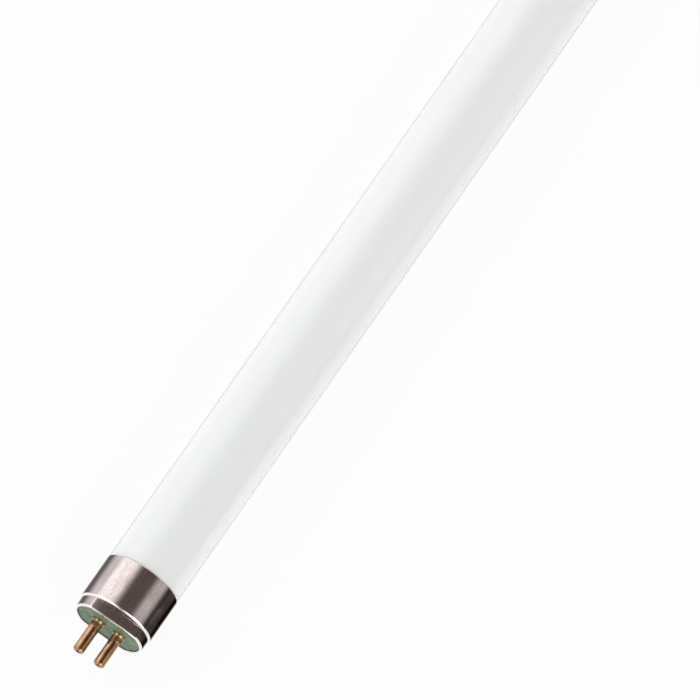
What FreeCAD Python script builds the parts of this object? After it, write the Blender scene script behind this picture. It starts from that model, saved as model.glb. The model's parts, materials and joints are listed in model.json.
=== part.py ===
"""Straight fluorescent lamp with a two-pin cap on each end, 16 mm tube, 549 mm between cap faces.

The lamp lies along X with its centre at the origin. The two pins of each cap lie side by side
along Y, and the flattened sides of the cap noses face up and down. Sizes are in millimetres.
"""
import FreeCAD, Part
import os

import Sketcher

from FreeCAD import Placement, Rotation, Vector

SIZES = {
    # the lamp and its glass
    "lamp_length": 549.0,
    "tube_diameter": 15.9,
    "tube_wall": 0.8,
    "tube_step": 0.35,
    "end_gap": 0.6,
    "rim_band": 2.2,
    "rim_bevel": 0.4,
    "throat_gap": 0.35,
    "flare_depth": 9.0,
    "press_depth": 5.0,
    "exhaust_diameter": 2.2,
    "exhaust_length": 4.5,
    "exhaust_point": 1.2,
    # the drawn metal shell of a cap
    "cap_proud": 0.05,
    "cap_wall": 0.3,
    "skirt_length": 9.7,
    "shoulder_bevel": 0.3,
    "nose_height": 2.5,
    "nose_step": 0.35,
    "nose_flats": 12.0,
    "nose_crown": 26.0,
    "nose_corner": 0.6,
    "nose_bevel": 0.2,
    "lip_width": 0.5,
    "least_round": 0.1,
    # the insulating disc held in the shell
    "disc_gap": 0.05,
    "disc_flange": 0.8,
    "pin_gap": 0.03,
    # the hollow contact pins
    "pin_spacing": 4.75,
    "pin_diameter": 2.37,
    "pin_reach": 7.1,
    "pin_bore": 1.5,
    "tip_bevel": 0.45,
    "tip_wall": 0.9,
    "collar_diameter": 3.05,
    "collar_height": 0.6,
    "stake_diameter": 3.3,
    "stake_height": 0.5,
    # the cement and the lead wires
    "cement_gap": 0.35,
    "cement_setback": 0.6,
    "cement_start": 1.2,
    "lead_diameter": 0.6,
    "lead_recess": 0.5,
}

TINY = 1e-4

doc = FreeCAD.newDocument("fluorescent_tube")


def make_sheet():
    """Write the driving sizes into a sheet, one named cell each."""
    cells = doc.addObject("Spreadsheet::Sheet", "Sizes")
    for row, (alias, size) in enumerate(SIZES.items(), start=1):
        cells.set(f"A{row}", alias)
        cells.set(f"B{row}", str(size))
        cells.setAlias(f"B{row}", alias)
    doc.recompute()
    return cells


sheet = make_sheet()


def value(expression):
    """Number that an expression on the sheet's cells stands for now."""
    return float(sheet.evalExpression(expression))


def half(expression):
    """Half of an expression, as for a radius from a diameter."""
    return f"({expression}) / 2"


# distances from a cap's face, inwards along the lamp
MOUTH = "(Sizes.nose_height + Sizes.skirt_length)"
LEDGE_BACK = "(Sizes.nose_height + Sizes.cap_wall)"
DISC_BACK = f"({LEDGE_BACK} + Sizes.disc_flange)"
GLASS_RIM = f"({DISC_BACK} + Sizes.end_gap)"
PRESS_FACE = f"({GLASS_RIM} + Sizes.flare_depth)"

# diameters that follow from the glass outwards and from the pins
CAP = "(Sizes.tube_diameter + 2 * Sizes.cap_proud)"
CAP_BORE = f"({CAP} - 2 * Sizes.cap_wall)"
NECK = f"({CAP_BORE} - 2 * Sizes.cement_gap)"
FLARE_MOUTH = f"({NECK} - 2 * Sizes.rim_band)"
FLARE_THROAT = "(Sizes.pin_spacing + Sizes.lead_diameter + 2 * Sizes.throat_gap)"


def new_body(name):
    """Body whose label names its file."""
    body = doc.addObject("PartDesign::Body", name)
    body.Label = name
    return body


def attach(sketch, plane, offset="0"):
    """Lay a sketch on one of its body's own planes, moved out along the plane's normal."""
    body = sketch.getParentGeoFeatureGroup()
    datum = next(item for item in body.Origin.OriginFeatures if item.Role == plane)
    sketch.AttachmentSupport = [(datum, "")]
    sketch.MapMode = "FlatFace"
    sketch.setExpression("AttachmentOffset.Base.z", offset)


def bind(sketch, constraint, name, expression):
    """Add a sized constraint under a name and tie it to the sheet."""
    index = sketch.addConstraint(constraint)
    sketch.renameConstraint(index, name)
    sketch.setExpression(f"Constraints.{name}", expression)


def place_point(sketch, line, corner):
    """Tie the start of one line to its distances from the sketch's origin."""
    along, across = corner
    if across == "0":
        sketch.addConstraint(Sketcher.Constraint("PointOnObject", line, 1, -1))
    else:
        rule = Sketcher.Constraint("DistanceY", -1, 1, line, 1, value(across))
        bind(sketch, rule, f"across_{line}", across)
    if along == "0":
        sketch.addConstraint(Sketcher.Constraint("PointOnObject", line, 1, -2))
    else:
        rule = Sketcher.Constraint("DistanceX", -1, 1, line, 1, value(along))
        bind(sketch, rule, f"along_{line}", along)


def profile_sketch(body, name, corners):
    """Closed outline of straight lines in the plane through the axis, as (along, radius) pairs."""
    sketch = body.newObject("Sketcher::SketchObject", name)
    attach(sketch, "XY_Plane")
    points = [Vector(value(along), value(across), 0) for along, across in corners]
    for start, end in zip(points, points[1:] + points[:1]):
        sketch.addGeometry(Part.LineSegment(start, end), False)
    for line in range(len(points)):
        before = (line - 1) % len(points)
        sketch.addConstraint(Sketcher.Constraint("Coincident", before, 2, line, 1))
        place_point(sketch, line, corners[line])
    return sketch


def circle_sketch(body, name, offset, *diameters):
    """Circles about the axis, square to it, at a distance from the body's origin."""
    sketch = body.newObject("Sketcher::SketchObject", name)
    attach(sketch, "YZ_Plane", offset)
    for index, diameter in enumerate(diameters):
        round_line = Part.Circle(Vector(), Vector(0, 0, 1), value(half(diameter)))
        sketch.addGeometry(round_line, False)
        sketch.addConstraint(Sketcher.Constraint("Coincident", index, 3, -1, 1))
        rule = Sketcher.Constraint("Diameter", index, value(diameter))
        bind(sketch, rule, f"diameter_{index}", diameter)
    return sketch


def nose_arcs(radius, flat, crown, corner):
    """Arcs of the nose outline: a circle cut by two nearly flat arcs, with rounded corners."""
    drop = crown - flat
    rise = ((crown - corner) ** 2 - (radius - corner) ** 2 - drop ** 2) / (2 * drop)
    reach = ((radius - corner) ** 2 - rise ** 2) ** 0.5
    side = Vector(reach, rise, 0).getAngle(Vector(1, 0, 0))
    top = Vector(reach, rise + drop, 0).getAngle(Vector(1, 0, 0))
    half_turn = FreeCAD.Units.Quantity("180 deg").getValueAs("rad").Value

    def arc(centre, size, start, end):
        return Part.ArcOfCircle(Part.Circle(centre, Vector(0, 0, 1), size), start, end)

    return [
        arc(Vector(0, -drop, 0), crown, top, half_turn - top),
        arc(Vector(-reach, rise, 0), corner, half_turn - top, half_turn - side),
        arc(Vector(), radius, half_turn - side, half_turn + side),
        arc(Vector(-reach, -rise, 0), corner, half_turn + side, half_turn + top),
        arc(Vector(0, drop, 0), crown, half_turn + top, 2 * half_turn - top),
        arc(Vector(reach, -rise, 0), corner, -top, -side),
        arc(Vector(), radius, -side, side),
        arc(Vector(reach, rise, 0), corner, side, top),
    ]


def nose_sketch(body, name, offset, inset):
    """Outline of the cap's nose, drawn in by an inset on every side."""
    sketch = body.newObject("Sketcher::SketchObject", name)
    attach(sketch, "YZ_Plane", offset)
    radius = f"{CAP} / 2 - Sizes.nose_step - {inset}"
    flat = f"Sizes.nose_flats / 2 - {inset}"
    crown = f"Sizes.nose_crown - {inset}"
    drop = "Sizes.nose_crown - Sizes.nose_flats / 2"
    corner = f"max(Sizes.nose_corner - {inset}; Sizes.least_round)"
    outline = nose_arcs(value(radius), value(flat), value(crown), value(corner))
    sketch.addGeometry(outline, False)
    for piece in range(8):
        sketch.addConstraint(Sketcher.Constraint("Tangent", piece, 2, (piece + 1) % 8, 1))
    for flattened in (0, 4):
        sketch.addConstraint(Sketcher.Constraint("PointOnObject", flattened, 3, -2))
    for side in (2, 6):
        sketch.addConstraint(Sketcher.Constraint("Coincident", side, 3, -1, 1))
    for other in (3, 5, 7):
        sketch.addConstraint(Sketcher.Constraint("Equal", 1, other))
    sketch.addConstraint(Sketcher.Constraint("Equal", 2, 6))
    sketch.addConstraint(Sketcher.Constraint("Equal", 0, 4))
    bind(sketch, Sketcher.Constraint("Radius", 2, value(radius)), "radius", radius)
    bind(sketch, Sketcher.Constraint("Radius", 1, value(corner)), "corner", corner)
    bind(sketch, Sketcher.Constraint("Radius", 0, value(crown)), "crown", crown)
    bind(sketch, Sketcher.Constraint("DistanceY", 0, 3, -1, 1, value(drop)), "top", drop)
    bind(sketch, Sketcher.Constraint("DistanceY", -1, 1, 4, 3, value(drop)), "bottom", drop)
    return sketch


def pad(body, name, sketch, length):
    """Solid from a sketch, inwards along the lamp."""
    feature = body.newObject("PartDesign::Pad", name)
    feature.Profile = sketch
    feature.setExpression("Length", length)
    doc.recompute()
    return feature


def pocket(body, name, sketch, length):
    """Cut from a sketch, outwards to the cap's face."""
    feature = body.newObject("PartDesign::Pocket", name)
    feature.Profile = sketch
    feature.setExpression("Length", length)
    doc.recompute()
    return feature


def turned(body, kind, name, sketch):
    """Solid or cut made by turning a sketch once about the body's X axis."""
    feature = body.newObject(kind, name)
    feature.Profile = sketch
    feature.ReferenceAxis = (sketch, ["H_Axis"])
    feature.Angle = 360
    doc.recompute()
    return feature


def ring_edges(feature, along, diameter):
    """Names of the round edges at a place along the axis with a given size."""
    names = []
    for number, edge in enumerate(feature.Shape.Edges, start=1):
        if not isinstance(edge.Curve, Part.Circle):
            continue
        same_place = abs(edge.CenterOfMass.x - value(along)) < TINY
        same_size = abs(2 * edge.Curve.Radius - value(diameter)) < TINY
        if same_place and same_size:
            names.append(f"Edge{number}")
    return names


def face_edges(feature, along):
    """Names of the edges that lie in the plane at a place along the axis."""
    names = []
    for number, edge in enumerate(feature.Shape.Edges, start=1):
        box = edge.BoundBox
        if max(abs(box.XMin - value(along)), abs(box.XMax - value(along))) < TINY:
            names.append(f"Edge{number}")
    return names


def bevel(body, name, feature, edges, size):
    """Cut the named edges off at an even slant."""
    slanted = body.newObject("PartDesign::Chamfer", name)
    slanted.Base = (feature, edges)
    slanted.setExpression("Size", size)
    doc.recompute()
    return slanted


def make_glass_tube():
    """Sealed glass envelope, stepped in under each cap and closed by a flare, press and exhaust tip."""
    body = new_body("glass_tube")
    end = "Sizes.lamp_length / 2"
    step = f"{end} - {MOUTH} - Sizes.tube_step"
    rim = f"{end} - {GLASS_RIM}"
    face = f"{end} - {PRESS_FACE}"
    tip = f"{face} + Sizes.exhaust_length"
    outside = [
        ("0", "0"),
        ("0", half("Sizes.tube_diameter")),
        (step, half("Sizes.tube_diameter")),
        (f"{end} - {MOUTH}", half(NECK)),
        (rim, half(NECK)),
        (rim, half(FLARE_MOUTH)),
        (face, half(FLARE_THROAT)),
        (face, half("Sizes.exhaust_diameter")),
        (f"{tip} - Sizes.exhaust_point", half("Sizes.exhaust_diameter")),
        (tip, "0"),
    ]
    wall = "2 * Sizes.tube_wall"
    inside = [
        ("0", "0"),
        ("0", half(f"Sizes.tube_diameter - {wall}")),
        (step, half(f"Sizes.tube_diameter - {wall}")),
        (f"{end} - {MOUTH}", half(f"{NECK} - {wall}")),
        (f"{rim} - Sizes.tube_wall", half(f"{NECK} - {wall}")),
        (f"{rim} - Sizes.tube_wall", half(f"{FLARE_MOUTH} + {wall}")),
        (f"{face} - Sizes.press_depth", half(FLARE_THROAT)),
        (f"{face} - Sizes.press_depth", "0"),
    ]
    glass = turned(body, "PartDesign::Revolution", "half_glass",
                   profile_sketch(body, "glass_outline", outside))
    rims = ring_edges(glass, rim, NECK) + ring_edges(glass, rim, FLARE_MOUTH)
    sealed = bevel(body, "sealed_rim", glass, rims, "Sizes.rim_bevel")
    solid_volume = sealed.Shape.Volume
    turned(body, "PartDesign::Groove", "glass_hollow",
           profile_sketch(body, "hollow_outline", inside))
    if body.Shape.Volume >= solid_volume:
        raise RuntimeError("the hollow cut nothing from the glass")
    whole = body.newObject("PartDesign::Mirrored", "whole_glass")
    whole.TransformMode = "Whole shape"
    plane = next(item for item in body.Origin.OriginFeatures if item.Role == "YZ_Plane")
    whole.MirrorPlane = (plane, [""])
    body.Tip = whole
    return body


def place_on_end(body, side, inset="0", aside="0"):
    """Put a piece on one end of the lamp, facing out from it."""
    sign = {"left": "-1", "right": "1"}[side]
    facing = {"left": Rotation(), "right": Rotation(Vector(0, 0, 1), 180)}[side]
    body.Placement = Placement(Vector(), facing)
    body.setExpression("Placement.Base.x", f"{sign} * (Sizes.lamp_length / 2 - ({inset}))")
    body.setExpression("Placement.Base.y", aside)


def make_cap_shell(side):
    """Drawn shell: skirt with a bevelled shoulder, and a nose with two flattened sides and a lip."""
    body = new_body(f"{side}_cap_shell")
    skirt = pad(body, f"{side}_skirt",
                circle_sketch(body, f"{side}_skirt_outline", "Sizes.nose_height", CAP),
                "Sizes.skirt_length")
    front = ring_edges(skirt, "Sizes.nose_height", CAP)
    bevel(body, f"{side}_shoulder", skirt, front, "Sizes.shoulder_bevel")
    nose = pad(body, f"{side}_nose",
               nose_sketch(body, f"{side}_nose_outline", "0", "0"), LEDGE_BACK)
    bevel(body, f"{side}_nose_edge", nose, face_edges(nose, "0"), "Sizes.nose_bevel")
    pocket(body, f"{side}_bore", circle_sketch(body, f"{side}_bore_outline", MOUTH, CAP_BORE),
           "Sizes.skirt_length - Sizes.cap_wall")
    pocket(body, f"{side}_nose_hollow",
           nose_sketch(body, f"{side}_hollow_outline", LEDGE_BACK, "Sizes.cap_wall"),
           "Sizes.nose_height")
    pocket(body, f"{side}_window",
           nose_sketch(body, f"{side}_window_outline", "Sizes.cap_wall", "Sizes.lip_width"),
           "Sizes.cap_wall")
    place_on_end(body, side)
    return body


def pair_of_circles(body, name, offset, diameter):
    """Two equal circles on the pins' axes."""
    sketch = body.newObject("Sketcher::SketchObject", name)
    attach(sketch, "YZ_Plane", offset)
    for index, sign in enumerate((-1, 1)):
        centre = Vector(sign * value("Sizes.pin_spacing / 2"), 0, 0)
        ring = Part.Circle(centre, Vector(0, 0, 1), value(half(diameter)))
        sketch.addGeometry(ring, False)
        rule = Sketcher.Constraint("Diameter", index, value(diameter))
        bind(sketch, rule, f"diameter_{index}", diameter)
    sketch.addConstraint(Sketcher.Constraint("PointOnObject", 0, 3, -1))
    sketch.addConstraint(Sketcher.Constraint("Symmetric", 0, 3, 1, 3, -1, 1))
    apart = Sketcher.Constraint("DistanceX", 0, 3, 1, 3, value("Sizes.pin_spacing"))
    bind(sketch, apart, "apart", "Sizes.pin_spacing")
    return sketch


def make_insulator(side):
    """Insulating disc: a boss that fills the nose behind its lip, and a flange behind the ledge."""
    body = new_body(f"{side}_insulator")
    pad(body, f"{side}_boss",
        nose_sketch(body, f"{side}_boss_outline", "Sizes.cap_wall",
                    "(Sizes.cap_wall + Sizes.disc_gap)"), "Sizes.nose_height")
    disc = pad(body, f"{side}_flange",
               circle_sketch(body, f"{side}_flange_outline", LEDGE_BACK,
                             f"{CAP_BORE} - 2 * Sizes.disc_gap"), "Sizes.disc_flange")
    solid_volume = disc.Shape.Volume
    holes = pair_of_circles(body, f"{side}_hole_outlines", DISC_BACK,
                            "Sizes.pin_diameter + 2 * Sizes.pin_gap")
    pocket(body, f"{side}_pin_holes", holes, f"{DISC_BACK} - Sizes.cap_wall")
    if body.Shape.Volume >= solid_volume:
        raise RuntimeError("the pin holes cut nothing from the insulating disc")
    place_on_end(body, side)
    return body


def make_pin(side, row):
    """Hollow contact pin: closed round its lead at the tip, collar on the disc, staked foot behind."""
    name = f"{side}_{row}_pin"
    body = new_body(name)
    seat = "(Sizes.pin_reach + Sizes.cap_wall)"
    foot = f"(Sizes.pin_reach + {DISC_BACK})"
    end = f"({foot} + Sizes.stake_height)"
    outline = [
        ("0", half("Sizes.lead_diameter")),
        ("0", half("Sizes.pin_diameter") + " - Sizes.tip_bevel"),
        ("Sizes.tip_bevel", half("Sizes.pin_diameter")),
        (f"{seat} - Sizes.collar_height", half("Sizes.pin_diameter")),
        (seat, half("Sizes.collar_diameter")),
        (seat, half("Sizes.pin_diameter")),
        (foot, half("Sizes.pin_diameter")),
        (foot, half("Sizes.stake_diameter")),
        (end, half("Sizes.stake_diameter")),
        (end, half("Sizes.pin_bore")),
        ("Sizes.tip_wall", half("Sizes.pin_bore")),
        ("Sizes.tip_wall", half("Sizes.lead_diameter")),
    ]
    turned(body, "PartDesign::Revolution", f"{name}_turning",
           profile_sketch(body, f"{name}_outline", outline))
    sign = {"front": "-1", "rear": "1"}[row]
    place_on_end(body, side, "-Sizes.pin_reach", f"{sign} * Sizes.pin_spacing / 2")
    return body


def make_cement_ring(side):
    """Ring of basing cement that fixes the skirt to the glass neck."""
    body = new_body(f"{side}_cement_ring")
    start = f"{GLASS_RIM} + Sizes.cement_start"
    ring = circle_sketch(body, f"{side}_cement_outline", start, CAP_BORE, NECK)
    pad(body, f"{side}_cement", ring, f"{MOUTH} - Sizes.cement_setback - ({start})")
    place_on_end(body, side)
    return body


def make_lead(side, row):
    """Lead wire, straight from the glass press into the tip of a pin."""
    name = f"{side}_{row}_lead"
    body = new_body(name)
    reach = "(Sizes.pin_reach - Sizes.lead_recess)"
    section = circle_sketch(body, f"{name}_section", "0", "Sizes.lead_diameter")
    pad(body, f"{name}_wire", section, f"{reach} + {PRESS_FACE}")
    sign = {"front": "-1", "rear": "1"}[row]
    place_on_end(body, side, f"-{reach}", f"{sign} * Sizes.pin_spacing / 2")
    return body


def check_and_export(bodies):
    """Stop on any failed object or bad shape, then write one file for each sub-part."""
    doc.recompute()
    for item in doc.Objects:
        if "Invalid" in item.State or "Error" in item.State:
            raise RuntimeError(f"{item.Label} did not build: {item.State}")
    for body in bodies:
        shape = body.Shape
        if shape.isNull() or not shape.isValid() or len(shape.Solids) != 1:
            raise RuntimeError(f"{body.Label} is not one sound solid")
    os.makedirs("parts", exist_ok=True)
    for body in bodies:
        body.Shape.exportStep(f"parts/{body.Label}.step")
        print(f"{body.Label}: {body.Shape.Volume:.2f} cubic mm")


pieces = [make_glass_tube()]
for side in ("left", "right"):
    pieces += [make_cap_shell(side), make_insulator(side), make_cement_ring(side)]
    for row in ("front", "rear"):
        pieces += [make_pin(side, row), make_lead(side, row)]
check_and_export(pieces)
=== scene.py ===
"""Looks of a slim straight fluorescent lamp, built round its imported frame.

The lamp lies along X with its middle at the origin and rests on a pale floor. Each sub-assembly
is a class that draws its pieces from a few sizes, and each finish is a class of its own. Sizes
are given in millimetres, and the meshes are in metres. Pieces are drawn at the left end, where X
is negative, and those of the right end are turned round to it.
"""
import json
import logging
import math
from dataclasses import dataclass
from enum import Enum
from typing import Any, Callable, Sequence

import bmesh
import bpy
from mathutils import Matrix, Vector


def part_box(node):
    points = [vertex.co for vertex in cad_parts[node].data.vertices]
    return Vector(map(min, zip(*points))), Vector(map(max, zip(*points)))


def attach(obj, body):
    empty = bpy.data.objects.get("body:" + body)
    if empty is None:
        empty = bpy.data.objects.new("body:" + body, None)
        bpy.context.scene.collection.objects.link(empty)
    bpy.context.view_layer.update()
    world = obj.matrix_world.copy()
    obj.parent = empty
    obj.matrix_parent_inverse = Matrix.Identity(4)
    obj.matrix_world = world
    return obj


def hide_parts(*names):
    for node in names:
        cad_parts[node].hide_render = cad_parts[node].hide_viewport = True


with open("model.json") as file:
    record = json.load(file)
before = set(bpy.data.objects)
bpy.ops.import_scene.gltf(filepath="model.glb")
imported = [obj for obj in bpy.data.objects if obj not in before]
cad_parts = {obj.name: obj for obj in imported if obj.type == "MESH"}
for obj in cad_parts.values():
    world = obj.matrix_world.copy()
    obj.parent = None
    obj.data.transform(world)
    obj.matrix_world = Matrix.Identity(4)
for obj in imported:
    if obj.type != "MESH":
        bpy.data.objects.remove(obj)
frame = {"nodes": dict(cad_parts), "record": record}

LOG = logging.getLogger("fluorescent_tube")
MM = 0.001
MERGE = 1e-4
SHARP_ANGLE = math.radians(35.0)
BODY = "root"
UPWARD = Vector((0.0, 0.0, 1.0))
# Name of the points' share of painted shade, in a cap's crease and round a disc's edge beside the lip.
PAINTED_RECESS_SHADE = "painted_recess_shade"

Colour = tuple[float, float, float]
Ring = list[Vector]
Socket = bpy.types.NodeSocket

WHITE: Colour = (1.0, 1.0, 1.0)


class End(Enum):
    """The two ends of the lamp, with the turn about Z from the left end to each."""

    LEFT = 0.0
    RIGHT = math.pi

    def node(self, name: str) -> str:
        """Name of a solid or a piece at this end."""
        return f"{self.name.lower()}_{name}"

    @property
    def turn(self) -> Matrix:
        """Turn that brings a piece drawn for the left end to this end."""
        return Matrix.Rotation(self.value, 4, "Z")


class Slot(Enum):
    """The finishes that the lamp's record names."""

    GLASS = "coated_glass"
    CAP = "cap_metal"
    DISC = "insulating_disc"
    CEMENT = "cement"
    PIN = "pin_brass"
    LEAD = "lead_wire"


@dataclass(frozen=True)
class LampSizes:
    """Main sizes of the lamp in millimetres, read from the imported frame."""

    tube_radius: float
    cap_radius: float
    cap_face: float
    mouth: float
    glass_rim: float
    disc_back: float
    floor: float
    pin_radius: float
    pin_side: float
    pin_reach: float

    @classmethod
    def from_frame(cls) -> "LampSizes":
        """Measure the frame's solids and read the pins' mounts.

        Returns:
            The lamp's main sizes.
        """
        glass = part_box("glass_tube")
        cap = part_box("left_cap_shell")
        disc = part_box("left_insulator")
        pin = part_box("left_front_pin")
        mount = next(m for m in frame["record"]["mounts"] if m["name"] == "left_rear_pin")
        face = -cap[0].x / MM
        return cls(
            tube_radius=glass[1].z / MM,
            cap_radius=cap[1].z / MM,
            cap_face=face,
            mouth=face + cap[1].x / MM,
            glass_rim=face - glass[1].x / MM,
            disc_back=face + disc[1].x / MM,
            floor=cap[0].z / MM,
            pin_radius=mount["dims"]["r_mm"],
            pin_side=mount["pos_m"][1] / MM,
            pin_reach=-pin[0].x / MM - face,
        )

    @property
    def face(self) -> float:
        """Place of the left cap's face along the lamp."""
        return -self.cap_face


@dataclass(frozen=True)
class Ramp:
    """Smooth rise or fall from start to end as a value goes from low to high."""

    low: float
    high: float
    start: float = 0.0
    end: float = 1.0


@dataclass(frozen=True)
class Grain:
    """Noise: its lengths on X, Y and Z in millimetres, its finer layers and their strength."""

    along: float
    across: float
    up: float
    detail: float = 3.0
    rough: float = 0.5


def rgba(value: Any) -> Any:
    """Colour with its alpha, or anything else as it is."""
    return (*value, 1.0) if isinstance(value, tuple) else value


class Tree:
    """Adds nodes to one node tree and links them in the same call."""

    def __init__(self, tree: bpy.types.NodeTree) -> None:
        """Take over an empty tree."""
        self.tree = tree

    def add(self, kind: str, inputs: dict | None = None, **settings: Any) -> bpy.types.Node:
        """Add a node.

        Args:
            kind: Blender's name of the node type.
            inputs: Socket name or number, with the value or the socket that feeds it.
            **settings: Properties of the node, set before its inputs.

        Returns:
            The new node.
        """
        node = self.tree.nodes.new(kind)
        for name, value in settings.items():
            setattr(node, name, value)
        for name, value in (inputs or {}).items():
            if isinstance(value, Socket):
                self.tree.links.new(value, node.inputs[name])
            else:
                node.inputs[name].default_value = value
        return node

    def math(self, operation: str, *values: Any) -> Socket:
        """Work out a sum from numbers and sockets.

        Args:
            operation: Name of the operation.
            *values: Numbers or sockets, in the operation's order.

        Returns:
            The socket that holds the result.
        """
        node = self.add("ShaderNodeMath", dict(enumerate(values)), operation=operation)
        return node.outputs["Value"]

    def span(self, value: Any, ramp: Ramp) -> Socket:
        """Map a value smoothly along a ramp.

        Args:
            value: Number or socket to map.
            ramp: The range that counts and what it gives.

        Returns:
            The mapped value.
        """
        ends = {"From Min": ramp.low, "From Max": ramp.high, "To Min": ramp.start, "To Max": ramp.end}
        node = self.add("ShaderNodeMapRange", {"Value": value, **ends}, interpolation_type="SMOOTHSTEP")
        return node.outputs["Result"]


class Shader(Tree):
    """Node tree of a material whose patterns lie in the piece's own space.

    A mix node's sockets for colours share their names with others, so they go by number.
    """

    MIX_INPUTS = (0, 6, 7)
    MIX_RESULT = 2

    def __init__(self, name: str) -> None:
        """Start an empty material.

        Args:
            name: Name of the material.
        """
        self.material = bpy.data.materials.new(name)
        self.material.use_nodes = True
        self.material.node_tree.nodes.clear()
        super().__init__(self.material.node_tree)
        self.place = self.add("ShaderNodeTexCoord").outputs["Object"]

    def axis(self, name: str) -> Socket:
        """Place along one of the lamp's axes, in millimetres."""
        place = self.add("ShaderNodeSeparateXYZ", {0: self.place}).outputs[name]
        return self.math("DIVIDE", place, MM)

    def from_middle(self) -> Socket:
        """Distance along the lamp from its middle, in millimetres."""
        return self.math("ABSOLUTE", self.axis("X"))

    def facing(self) -> Socket:
        """Turn of the surface from the viewer, from 0 face on to 1 edge on."""
        return self.add("ShaderNodeLayerWeight", {"Blend": 0.5}).outputs["Facing"]

    def painted_recess_shade(self) -> Socket:
        """Share of painted shade in creases and recesses that the piece's own points carry."""
        return self.add("ShaderNodeAttribute", attribute_name=PAINTED_RECESS_SHADE).outputs["Fac"]

    def noise(self, grain: Grain) -> Socket:
        """Noise that has its own length on each axis.

        Args:
            grain: The noise's lengths and layers.

        Returns:
            The noise as a number, 0.5 on average.
        """
        scale = [1.0 / (length * MM) for length in (grain.along, grain.across, grain.up)]
        spread = self.add("ShaderNodeMapping", {"Vector": self.place, "Scale": scale})
        layers = {"Scale": 1.0, "Detail": grain.detail, "Roughness": grain.rough}
        node = self.add("ShaderNodeTexNoise", {"Vector": spread.outputs["Vector"], **layers})
        return node.outputs["Fac"]

    def blend(self, factor: Any, first: Any, second: Any) -> Socket:
        """Mix two colours.

        Args:
            factor: Share of the second colour.
            first: Colour or socket.
            second: Colour or socket.

        Returns:
            The mixed colour.
        """
        inputs = dict(zip(self.MIX_INPUTS, (factor, rgba(first), rgba(second))))
        return self.add("ShaderNodeMix", inputs, data_type="RGBA").outputs[self.MIX_RESULT]

    def relief(self, height: Any, depth: float, under: Any = None) -> Socket:
        """Raise the surface by a height map.

        Args:
            height: Height from 0 to 1.
            depth: Depth of the relief in millimetres.
            under: Normal of a coarser relief, if there is one.

        Returns:
            The normal.
        """
        inputs = {"Height": height, "Distance": depth * MM}
        if under is not None:
            inputs["Normal"] = under
        return self.add("ShaderNodeBump", inputs).outputs["Normal"]

    def surface(self, **inputs: Any) -> bpy.types.Material:
        """Finish the material with its surface shader.

        Args:
            **inputs: Sockets of the surface shader, with underscores for spaces.

        Returns:
            The material.
        """
        named = {name.replace("_", " "): rgba(value) for name, value in inputs.items()}
        shader = self.add("ShaderNodeBsdfPrincipled", named)
        self.add("ShaderNodeOutputMaterial", {"Surface": shader.outputs["BSDF"]})
        return self.material


@dataclass(frozen=True)
class GlassFinish:
    """Clear drawn glass over a white powder coating that lets light through."""

    coating: Colour = (0.860, 0.898, 0.899)
    thin_coating: Colour = (0.824, 0.868, 0.867)
    edge_tint: Colour = (0.12, 0.15, 0.14)
    edge: Ramp = Ramp(0.765, 0.90)
    cloud: Grain = Grain(60.0, 5.0, 5.0, detail=2.0)
    clouded: Ramp = Ramp(0.3, 0.7, 0.0, 0.7)
    powder: Grain = Grain(0.12, 0.12, 0.12, detail=1.0)
    powdered: Ramp = Ramp(0.2, 0.8, 0.0, 0.3)
    wave: Grain = Grain(45.0, 3.0, 3.0, detail=0.0)
    wave_depth: float = 0.012
    powder_roughness: float = 0.55
    powder_gloss: float = 0.2
    glow_through: float = 0.6
    glow_reach: float = 2.5
    glass_roughness: float = 0.06
    glass_index: float = 1.52

    def build(self) -> bpy.types.Material:
        """Make the material.

        Returns:
            White coating with faint clouds and powder grain, seen through the clear wall.
        """
        shader = Shader(Slot.GLASS.value)
        clouds = shader.span(shader.noise(self.cloud), self.clouded)
        powder = shader.span(shader.noise(self.powder), self.powdered)
        white = shader.blend(shader.math("ADD", clouds, powder), self.thin_coating, self.coating)
        return shader.surface(
            Base_Color=shader.blend(shader.span(shader.facing(), self.edge), white, self.edge_tint),
            Roughness=self.powder_roughness,
            Specular_IOR_Level=self.powder_gloss,
            Subsurface_Weight=self.glow_through,
            Subsurface_Radius=Vector(WHITE),
            Subsurface_Scale=self.glow_reach * MM,
            Coat_Weight=1.0,
            Coat_Roughness=self.glass_roughness,
            Coat_IOR=self.glass_index,
            Coat_Normal=shader.relief(shader.noise(self.wave), self.wave_depth),
        )


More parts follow.
